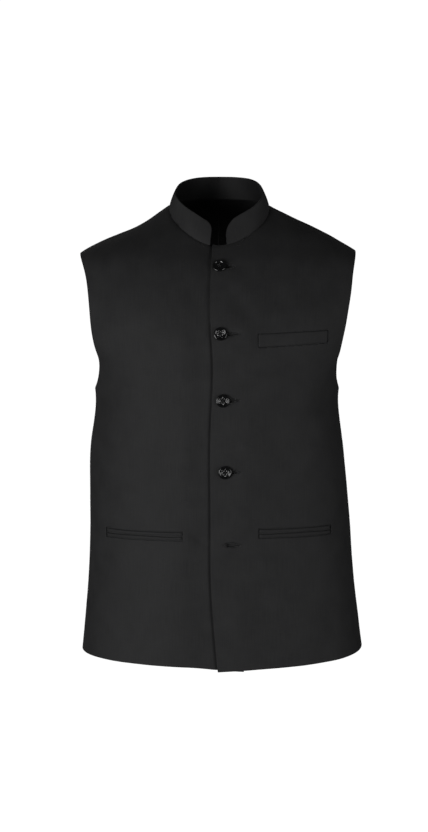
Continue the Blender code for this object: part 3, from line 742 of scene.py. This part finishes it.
def collar_skins():
    """Outer and inner grid of the collar: lines that rise, lean and bow from its sewn edge."""
    ring = neck_ring()
    shares, heights = collar_stations(ring)
    base = divided(ring, shares)
    tangent = divided(ring, np.minimum(shares + 0.01, 1)) - divided(ring, np.maximum(shares - 0.01, 0))
    away = np.stack((tangent[:, 1], -tangent[:, 0], 0 * shares), axis=-1)
    away /= np.linalg.norm(away, axis=1, keepdims=True)
    away *= np.sign((away * base * (1, 1, 0)).sum(axis=1, keepdims=True))
    share = 1 - np.abs(2 * shares - 1)
    rise = -away * column(COLLAR, "inward", share)[:, None]
    rise[:, 1] -= column(COLLAR, "forward", share)
    rise[:, 2] += column(COLLAR, "up", share)
    up = np.linspace(COLLAR_FOOT, 1, COLLAR_ROWS + 1)[:, None, None] * heights[None, :, None]
    outer = base + rise * up + away * (COLLAR_BOW * 4 * up * (1 - up) + COLLAR_PROUD)
    facing = np.cross(np.gradient(outer, axis=1), np.gradient(outer, axis=0))
    facing /= np.linalg.norm(facing, axis=2, keepdims=True)
    facing *= np.sign((facing * away).sum(axis=2, keepdims=True))
    length = np.linalg.norm(np.diff(ring, axis=0), axis=1).sum()
    places = np.stack(np.broadcast_arrays(shares[None] * length, up[..., 0] * COLLAR[0].up), axis=-1)
    return outer, outer - COLLAR_WALL * facing, places


collar_outer, collar_inner, collar_places = collar_skins()
collar_quads = cells(np.arange(collar_outer[..., 0].size).reshape(collar_outer.shape[:2]))
collar = wall("collar_cloth", collar_outer.reshape(-1, 3), collar_inner.reshape(-1, 3),
              collar_places.reshape(-1, 2), collar_quads, suiting)
round_edges(collar)
settle(collar)
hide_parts("collar")


# Pockets: a mouth is cut into each front and edged with two jets, folded strips of the suiting that meet at the
# slit. They are sewn in flush with the cloth, and the slit gapes a little near its ends.
Jet = namedtuple("Jet", "name side near far near_top near_bottom far_top far_bottom lip")
JETS = (
    Jet("right_pocket_upper_jet", RIGHT, 50.6, 153.5, -437.2, -442.4, -438.8, -444.0, -1),
    Jet("right_pocket_lower_jet", RIGHT, 50.8, 154.5, -442.8, -448.0, -444.4, -449.6, 1),
    Jet("left_pocket_upper_jet", LEFT, 54.6, 152.4, -433.4, -438.6, -434.2, -439.4, -1),
    Jet("left_pocket_lower_jet", LEFT, 54.4, 153.8, -439.0, -444.4, -439.8, -445.2, 1),
)
MOUTH_DEPTH, MOUTH_CLEAR = 1.75, 1.2     # of the cut in the wall, and round the jets
JET_STATIONS, JET_SIDES = 150, 20
JET_TOP, JET_BOTTOM, JET_END_SINK = 0.75, -1.75, 1.3
Gape = namedtuple("Gape", "share width")
GAPES = (Gape(0, 1.0), Gape(0.05, 1.6), Gape(0.17, 1.9), Gape(0.36, 1.0), Gape(0.6, 0.7), Gape(0.8, 0.9),
         Gape(0.92, 1.8), Gape(1, 1.1))


def on_front(side, x, z, out):
    """Point over a front, from its distance from the centre line and its height."""
    x, z = np.broadcast_arrays(np.asarray(x, float), np.asarray(z, float))
    return cloth(FRONT, side, side * angle_at(FRONT, side, x, z), z, out + (tuck(-x) if side == RIGHT else 0))


def block(name, outer, inner):
    """Closed body between two grids, used to cut a wall."""
    quads = cells(np.arange(outer[..., 0].size).reshape(outer.shape[:2]))
    points = np.concatenate((outer.reshape(-1, 3), inner.reshape(-1, 3)))
    mesh = bpy.data.meshes.new(name)
    mesh.from_pydata((points * MM).tolist(), [], facing_out(points, closed(quads, len(points) // 2)).tolist())
    item = bpy.data.objects.new(name, mesh)
    bpy.context.scene.collection.objects.link(item)
    return item


def cut_into(item, *cutters):
    """Takes the cutters' bodies out of an object, and removes them."""
    for cutter in cutters:
        cut = item.modifiers.new("cut", "BOOLEAN")
        cut.operation = "DIFFERENCE"
        cut.object = cutter
    settle(item)
    for cutter in cutters:
        bpy.data.objects.remove(cutter)


def slot_block(name, side, near, far, near_top, near_bottom, far_top, far_bottom, clear, sink):
    """Cutter over a four-sided place on a front, widened all round, from above the cloth down into its wall."""
    u, v = np.linspace(0, 1, 40)[None, :], np.linspace(0, 1, 5)[:, None]
    bottom = near_bottom + (far_bottom - near_bottom) * u - clear
    top = near_top + (far_top - near_top) * u + clear
    z = bottom + (top - bottom) * v
    x = near + (far - near) * u + (2 * u - 1) * clear + 0 * v
    return block(name, on_front(side, x, z, 5.0), on_front(side, x, z, -sink))


def carried(name, points, places, material):
    """Object of closed loops of points joined from station to station, with flat ends."""
    stations, around = points.shape[:2]
    index = np.arange(stations * around).reshape(stations, around)
    index = np.concatenate((index, index[:, :1]), axis=1)
    quads = cells(index)
    half = around // 2
    ends = [np.stack((row[:half - 1], row[1:half], row[around - 2:half - 1:-1], row[around - 1:half:-1]), axis=-1)
            for row in (index[0, :-1], index[-1, :-1])]
    quads = np.concatenate((quads, ends[0], ends[1][:, ::-1]))
    return piece(name, points.reshape(-1, 3), quads, places.reshape(-1, 2), np.zeros(points[..., 0].size), material)


def jet(row):
    """Roll of cloth: an oval section as wide as the jet, less half of the slit's gape, along the mouth."""
    u = np.linspace(0, 1, JET_STATIONS)[:, None]
    turn = np.linspace(0, 2 * pi, JET_SIDES, endpoint=False)[None, :]
    gape = column(GAPES, "width", u) / 2
    top = row.near_top + (row.far_top - row.near_top) * u - (gape if row.lip > 0 else 0)
    bottom = row.near_bottom + (row.far_bottom - row.near_bottom) * u + (gape if row.lip < 0 else 0)
    across = np.sign(np.cos(turn)) * np.abs(np.cos(turn))**0.8
    z = (top + bottom) / 2 + (top - bottom) / 2 * across
    x = row.near + (row.far - row.near) * u + 0 * turn
    end = np.exp(-(np.minimum(u, 1 - u) * (row.far - row.near) / 1.2)**2)
    out = (JET_TOP + JET_BOTTOM) / 2 + (JET_TOP - JET_BOTTOM) / 2 * np.sin(turn) - JET_END_SINK * end
    places = np.stack(np.broadcast_arrays(x, row.near_top + 4 * turn), axis=-1)
    item = carried(row.name + "_roll", on_front(row.side, x, z, out), places, suiting)
    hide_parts(row.name)
    return item


for upper, lower in (JETS[:2], JETS[2:]):
    front = right_front if upper.side == RIGHT else left_front
    mouth = slot_block("mouth", upper.side, upper.near, (upper.far + lower.far) / 2, upper.near_top,
                       lower.near_bottom, upper.far_top, lower.far_bottom, MOUTH_CLEAR, MOUTH_DEPTH)
    cut_into(front, mouth)
jets = [jet(row) for row in JETS]


# Chest welt: a folded band of the suiting, let into the left front and sewn down at its foot and its two ends.
# Its folded top edge stands a little off the cloth, at the mouth of the pocket.
WELT = Jet("chest_welt", LEFT, 52.6, 146.6, -167.8, -185.3, -164.6, -181.6, 0)
WELT_STATIONS, WELT_CLEAR, WELT_DEPTH = 130, 0.55, 1.2
WELT_SECTION = ((0, -0.9), (0.1, 0.1), (0.7, 0.6), (2.5, 0.8), (9, 0.95), (15.5, 1.15), (16.7, 0.95),
                (17.2, 0.3), (16.8, -0.6), (15, -1.15), (9, -1.2), (2.5, -1.2), (0.6, -1.15))
WELT_HEIGHT, WELT_SIDES = 17.2, 56


def chest_welt():
    """Band of a rounded flat section carried along the mouth, sinking at its ends."""
    section = np.array(WELT_SECTION + WELT_SECTION[:1], float)
    around = evenly(section, WELT_SIDES)[:-1]
    for _ in range(2):
        around = (np.roll(around, 1, axis=0) + 2 * around + np.roll(around, -1, axis=0)) / 4
    ends = np.linspace(0, pi, WELT_STATIONS)
    u = ((1 - np.cos(ends)) / 2)[:, None]
    top = WELT.near_top + (WELT.far_top - WELT.near_top) * u
    bottom = WELT.near_bottom + (WELT.far_bottom - WELT.near_bottom) * u
    z = bottom + (top - bottom) * around[:, 0] / WELT_HEIGHT
    x = WELT.near + (WELT.far - WELT.near) * u + 0 * z
    end = np.exp(-(np.minimum(u, 1 - u) * (WELT.far - WELT.near) / 0.9)**2)
    out = around[:, 1] - 0.9 * end * (around[:, 1] > 0)
    places = np.stack((x, z), axis=-1)
    item = carried("chest_welt_band", on_front(LEFT, x, z, out), places, suiting)
    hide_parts("chest_welt")
    return item


cut_into(left_front, slot_block("welt_place", LEFT, WELT.near, WELT.far, WELT.near_top, WELT.near_bottom,
                                WELT.far_top, WELT.far_bottom, WELT_CLEAR, WELT_DEPTH))
welt = chest_welt()


# Buttonholes: cut across the left front, worked round with black silk, and pulled open by the shanks into wedges
# that point away from the front edge.
Hole = namedtuple("Hole", "length gape")
HOLES = (Hole(22.5, 3.2), Hole(27, 3.8), Hole(24.5, 3.5), Hole(22, 3.3), Hole(22, 3.3))
EYE = 1.8
STITCH_PITCH, STITCH_RADIUS, STITCH_RIB, STITCH_SIDES = 0.8, 0.5, 0.16, 8


def lips(hole, cells_along):
    """Closed outline of a buttonhole: half openings at a few places along it, joined by a smooth curve."""
    along = (-EYE, 0, 5.5, 9, 14, hole.length - 2.5, hole.length)
    half = (0, EYE, hole.gape, hole.gape * 0.95, hole.gape * 0.64, 0.6, 0)
    x = -EYE + (hole.length + EYE) * (1 - np.cos(np.linspace(0, pi, cells_along + 1))) / 2
    y = np.maximum(through(along, half, x), 0)
    return np.concatenate((np.stack((x, y), axis=-1), np.stack((x, -y), axis=-1)[-2:0:-1]))


def buttonhole_block(place, hole):
    """Cutter in the shape of a buttonhole, through the wall of the left front."""
    outline = lips(hole, 28)
    upper, lower = outline[:29], np.concatenate((outline[:1], outline[:28:-1], outline[28:29]))
    grid = upper[None] + (lower - upper)[None] * np.linspace(0, 1, 3)[:, None, None]
    x, z = place.x + grid[..., 0], place.z + grid[..., 1]
    return block("buttonhole", on_front(LEFT, x, z, 3.0), on_front(LEFT, x, z, -4.5))


def tube(path, normals, radius, sides):
    """Loops of points round a path: a circle of the given radius across each point's direction."""
    along = np.gradient(path, axis=0)
    along /= np.linalg.norm(along, axis=1, keepdims=True)
    beside = np.cross(along, normals)
    beside /= np.linalg.norm(beside, axis=1, keepdims=True)
    above = np.cross(beside, along)
    turn = np.linspace(0, 2 * pi, sides, endpoint=False)
    ring = np.cos(turn)[None, :, None] * above[:, None] + np.sin(turn)[None, :, None] * beside[:, None]
    return path[:, None] + np.asarray(radius).reshape(-1, 1, 1) * ring


def thread_finish():
    """Black silk thread: a slight sheen, and fine plies along it."""
    finish = Finish("black_silk_thread", Sheen_Weight=0.2, Sheen_Roughness=0.35, Specular_IOR_Level=0.4)
    along, around = finish.flat_place()
    plies = ((along + around) * (2 * pi / 0.7)).sine()
    finish.feed("Base Color", finish.blend(plies * 0.5 + 0.5, (0.008, 0.008, 0.009), (0.017, 0.017, 0.018)))
    finish.feed("Roughness", plies * 0.06 + 0.5)
    finish.feed("Normal", finish.node("ShaderNodeBump", {}, Strength=0.5, Distance=0.0001, Height=plies))
    return finish.material


silk = thread_finish()


def ring_of_stitches(number, place, hole):
    """Tube round a buttonhole whose radius swells once for each stitch."""
    outline = lips(hole, 120)
    outline = np.concatenate((outline, outline[:1]))
    length = np.linalg.norm(np.diff(outline, axis=0), axis=1).sum()
    stitches = int(length / STITCH_PITCH)
    outline = evenly(outline, stitches * 5)[:-1]
    x, z = place.x + outline[:, 0], place.z + outline[:, 1]
    path = on_front(LEFT, x, z, 0.1)
    normals = outward(FRONT, LEFT, angle_at(FRONT, LEFT, x, z), z)
    at = np.arange(len(path)) / 5
    radius = STITCH_RADIUS * (1 + STITCH_RIB * np.cos(2 * pi * at))
    loops = tube(np.concatenate((path[-1:], path, path[:1])), np.concatenate((normals[-1:], normals, normals[:1])),
                 np.concatenate((radius[-1:], radius, radius[:1])), STITCH_SIDES)[1:-1]
    index = np.arange(loops[..., 0].size).reshape(loops.shape[:2])
    index = np.pad(index, ((0, 1), (0, 1)), mode="wrap")
    turn = np.arange(STITCH_SIDES)[None, :] * STITCH_RADIUS
    places = np.stack(np.broadcast_arrays(at[:, None] * STITCH_PITCH, turn), axis=-1)
    return piece(f"buttonhole_{number}_stitches", loops.reshape(-1, 3), cells(index), places.reshape(-1, 2),
                 np.zeros(loops[..., 0].size), silk)


cut_into(left_front, *[buttonhole_block(place, hole) for place, hole in zip(BUTTONS, HOLES)])
stitch_rings = [ring_of_stitches(number, place, hole)
                for number, (place, hole) in enumerate(zip(BUTTONS, HOLES), 1)]


# Buttons: turned from polished black resin, with a raised rim round a dished middle and four holes. Each is sewn
# to the right front through its buttonhole, on a wound thread shank.
BUTTON_RADIUS, BUTTON_UNDER, BUTTON_RIM = 9.0, 1.4, 1.35
DISH_RADIUS, DISH_HEIGHT = 5.4, 3.05
THREAD_HOLE_RADIUS, THREAD_HOLE_OUT, THREAD_HOLE_TURN = 0.85, 1.6, 0.07
BUTTON_SIDES = 96
FACETS, FACET_RISE, FACET_IN, FACET_OUT = 5, 0.34, 2.3, 5.6     # pattern moulded in the dish
SPINS = (23, 65, 112, 34, 80)     # how far each button has turned on its shank
SHANK_RADIUS, SHANK_FOOT, SHANK_TOP = 1.25, -3.4, 1.7
THREAD_RADIUS = 0.42


def button_frame(place, spin):
    """Middle of a button on the left front, and its axes: two along the cloth, turned by the spin, and one out
    of it."""
    x, z = np.array(place.x, float), np.array(place.z, float)
    angle = angle_at(FRONT, LEFT, x, z)
    normal = outward(FRONT, LEFT, angle, z)
    along = form(FRONT, LEFT, angle + 1e-3, z) - form(FRONT, LEFT, angle - 1e-3, z)
    along = along / np.linalg.norm(along)
    beside = np.cross(normal, along)
    c, s = cos(radians(spin)), sin(radians(spin))
    return cloth(FRONT, LEFT, angle, z), np.stack((c * along + s * beside, c * beside - s * along, normal))


def placed(spot, points):
    """Points of a button's own frame, moved to the garment."""
    middle, axes = spot
    return points @ axes + middle


def button_profile():
    """Radius and height of the button's section: flat foot, round rim, slope and dish, each an arc or an ease."""
    rim = np.linspace(-pi / 2, radians(105), 26)
    rim_out, rim_up = BUTTON_RADIUS - BUTTON_RIM, BUTTON_UNDER + BUTTON_RIM
    round_rim = np.stack((rim_out + BUTTON_RIM * np.cos(rim), rim_up + BUTTON_RIM * np.sin(rim)), axis=-1)
    share = np.linspace(0, 1, 10)[1:]
    top = round_rim[-1]
    slope = np.stack((top[0] + (DISH_RADIUS - top[0]) * share, top[1] + (DISH_HEIGHT - top[1]) * ease(share)), axis=-1)
    dish = np.linspace(1, 0, 16)[1:]
    floor = np.stack((DISH_RADIUS * dish, DISH_HEIGHT - 0.25 * (1 - dish**2)), axis=-1)
    foot = np.stack((np.linspace(0, rim_out, 8)[:-1], np.full(7, BUTTON_UNDER)), axis=-1)
    return np.concatenate((foot, round_rim, slope, floor))


def turned(profile, sides):
    """Grid of a profile of radius and height turned round the upright axis."""
    turn = np.linspace(0, 2 * pi, sides + 1)
    radius, height = profile[:, :1], profile[:, 1:]
    return np.stack(np.broadcast_arrays(radius * np.cos(turn), radius * np.sin(turn), height), axis=-1)


def patterned(grid):
    """The grid with its dish raised and lowered by turns round the middle: rise * cos(facets * angle), fading out
    as one turn of a sine towards the holes and the rim."""
    radius, turn = np.hypot(grid[..., 0], grid[..., 1]), np.arctan2(grid[..., 1], grid[..., 0])
    share = np.clip((radius - FACET_IN) / (FACET_OUT - FACET_IN), 0, 1)
    rise = FACET_RISE * np.cos(FACETS * turn) * np.sin(2 * pi * share)
    return grid + np.stack((0 * rise, 0 * rise, rise * (grid[..., 2] > BUTTON_UNDER + 0.2)), axis=-1)


def weld(item):
    """Merges the points that lie on each other, such as a turned shape's seam and poles."""
    shape = bmesh.new()
    shape.from_mesh(item.data)
    bmesh.ops.remove_doubles(shape, verts=shape.verts, dist=1e-6)
    shape.to_mesh(item.data)
    shape.free()


def button_finish():
    """Polished black resin: fine ripples left by the polishing wheel, and dull places where it has worn."""
    finish = Finish("black_button", Coat_Weight=0.5, Coat_Roughness=0.06, Specular_IOR_Level=0.5)
    place = finish.node("ShaderNodeTexCoord", {}, take=3)
    wear = finish.noise(place, 420.0, 3.0)
    waves = finish.noise(place, 900.0, 1.0)
    finish.feed("Base Color", finish.blend(wear, (0.0035, 0.0035, 0.004), (0.008, 0.008, 0.0085)))
    finish.feed("Roughness", wear * 0.12 + 0.1)
    finish.feed("Normal", finish.node("ShaderNodeBump", {}, Strength=0.25, Distance=0.0002, Height=waves))
    return finish.material


resin = button_finish()


def thread_hole(spot, x, y):
    """Cutter for one hole of a button: a cylinder right through it."""
    turn = np.linspace(0, 2 * pi, 25) + THREAD_HOLE_TURN
    radius = np.linspace(0, THREAD_HOLE_RADIUS, 3)[:, None]
    disc = np.stack((x + radius * np.cos(turn), y + radius * np.sin(turn)), axis=-1)
    upper = placed(spot, np.concatenate((disc, np.full(disc.shape[:2] + (1,), 6.0)), axis=-1))
    lower = placed(spot, np.concatenate((disc, np.full(disc.shape[:2] + (1,), 0.5)), axis=-1))
    cutter = block("thread_hole", upper, lower)
    weld(cutter)
    return cutter


def button(number, spot):
    """Turned button with its moulded pattern and four holes."""
    grid = patterned(turned(button_profile(), BUTTON_SIDES))
    quads = cells(np.arange(grid[..., 0].size).reshape(grid.shape[:2]))
    places = grid[..., :2].reshape(-1, 2)
    item = piece(f"button_{number}_turned", placed(spot, grid.reshape(-1, 3)), quads, places,
                 np.zeros(len(places)), resin)
    weld(item)
    cut_into(item, *[thread_hole(spot, x, y) for x in (-THREAD_HOLE_OUT, THREAD_HOLE_OUT)
                     for y in (-THREAD_HOLE_OUT, THREAD_HOLE_OUT)])
    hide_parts(f"button_{number}")
    return item


def strand(number, name, spot, path, radius):
    """Thread along a path in a button's own frame, wound or plied: a tube with flat ends."""
    upright = np.broadcast_to((0.02, 0.03, 1.0), path.shape)
    loops = tube(path, upright, radius, 12)
    lengths = np.concatenate(([0], np.cumsum(np.linalg.norm(np.diff(path, axis=0), axis=1))))
    places = np.stack(np.broadcast_arrays(lengths[:, None], np.arange(12)[None] * 0.2), axis=-1)
    item = carried(f"button_{number}_{name}", placed(spot, loops), places, silk)
    return item


def button_threads(number, spot):
    """Two crossed strands that dive into the holes, and the wound shank under the button."""
    share = np.linspace(-1, 1, 41)
    reach = THREAD_HOLE_OUT * np.sign(share) * np.minimum(np.abs(share) * 1.35, 1)
    fall = 1.9 * ease((np.abs(share) - 0.55) / 0.45)
    for name, turn, lift in (("strand_a", 1, 0.25), ("strand_b", -1, 0.75)):
        height = DISH_HEIGHT + 0.2 + lift * (1 - share**2) - fall
        path = np.stack((reach, turn * reach, height), axis=-1)
        strand(number, name, spot, path, np.full(len(path), THREAD_RADIUS))
    height = np.linspace(SHANK_FOOT, SHANK_TOP, 61)
    path = np.stack((0 * height, 0 * height, height), axis=-1)
    wound = SHANK_RADIUS * (1 + 0.12 * np.cos(2 * pi * height / 0.8))
    loops = path[:, None] + wound[:, None, None] * np.stack(
        (np.cos(np.linspace(0, 2 * pi, 12, endpoint=False)), np.sin(np.linspace(0, 2 * pi, 12, endpoint=False)),
         np.zeros(12)), axis=-1)
    places = np.stack(np.broadcast_arrays(height[:, None], np.arange(12)[None] * 0.5), axis=-1)
    item = carried(f"button_{number}_shank", placed(spot, loops), places, silk)


for number, (place, spin) in enumerate(zip(BUTTONS, SPINS), 1):
    button(number, button_frame(place, spin))
    button_threads(number, button_frame(place, spin))


# Studio: a pale floor and backdrop that only the camera sees, a large soft light from the front on the
# garment's right, and a weak one on its left, so that its left side falls dark.
CAMERA_PLACE = (-7.0, -2600.0, 10.0)
CAMERA_DIP = 6.63
FOCAL_PIXELS, FRAME_HEIGHT, SENSOR = 1857.0, 832.0, 36.0
FLOOR_HEIGHT, STAGE_RADIUS, STAGE_TOP, STAGE_BEND = -1450.0, 12000.0, 9000.0, 3000.0


def soft_light(name, place, target, width, height, power):
    """Area light of a size in millimetres, aimed at a point."""
    light = bpy.data.lights.new(name, "AREA")
    light.shape = "RECTANGLE"
    light.size, light.size_y, light.energy = width * MM, height * MM, power
    item = bpy.data.objects.new(name, light)
    item.location = Vector(place) * MM
    item.rotation_euler = (Vector(target) - Vector(place)).to_track_quat("-Z", "Y").to_euler()
    bpy.context.scene.collection.objects.link(item)
    return item


def sweep():
    """Round floor that bends up into a backdrop on all sides: a straight run, a quarter circle and a straight
    run, turned round the upright axis."""
    turn = np.linspace(0, pi / 2, 25)
    radius = np.concatenate(([0], STAGE_RADIUS - STAGE_BEND + STAGE_BEND * np.sin(turn), [STAGE_RADIUS]))
    height = FLOOR_HEIGHT + np.concatenate(([0], STAGE_BEND * (1 - np.cos(turn)), [STAGE_TOP]))
    return turned(np.stack((radius, height), axis=-1), 72)


stage_points = sweep()
stage_mesh = bpy.data.meshes.new("stage")
stage_mesh.from_pydata((stage_points.reshape(-1, 3) * MM).tolist(), [],
                       cells(np.arange(stage_points[..., 0].size).reshape(stage_points.shape[:2])).tolist())
stage_mesh.shade_smooth()
stage = bpy.data.objects.new("stage", stage_mesh)
bpy.context.scene.collection.objects.link(stage)
weld(stage)
stage_finish = Finish("pale_paper", Base_Color=(0.85, 0.85, 0.85, 1), Roughness=0.9,
                      Emission_Color=(1, 1, 1, 1), Emission_Strength=1.0)
stage_mesh.materials.append(stage_finish.material)
stage.visible_diffuse = False
stage.visible_glossy = False
stage.visible_shadow = False

soft_light("key", (-1900, -2600, -500), (0, 0, -330), 1800, 1400, 51)
soft_light("side", (-2700, -1300, -400), (0, 0, -330), 1400, 1400, 7)
soft_light("fill", (2500, -1900, -500), (0, 0, -330), 1800, 1800, 27)
soft_light("rear", (0, 3000, -700), (0, 0, -330), 1500, 1500, 100)

world = bpy.data.worlds.new("studio")
world.use_nodes = True
world.node_tree.nodes["Background"].inputs["Color"].default_value = (1, 1, 1, 1)
world.node_tree.nodes["Background"].inputs["Strength"].default_value = 0.02
bpy.context.scene.world = world
bpy.context.scene.view_settings.view_transform = "Standard"

camera_data = bpy.data.cameras.new("camera")
camera_data.sensor_fit = "VERTICAL"
camera_data.sensor_height = SENSOR
camera_data.lens = FOCAL_PIXELS / FRAME_HEIGHT * SENSOR
camera = bpy.data.objects.new("camera", camera_data)
camera.location = Vector(CAMERA_PLACE) * MM
camera.rotation_euler = (radians(90 - CAMERA_DIP), 0, 0)
bpy.context.scene.collection.objects.link(camera)
bpy.context.scene.camera = camera
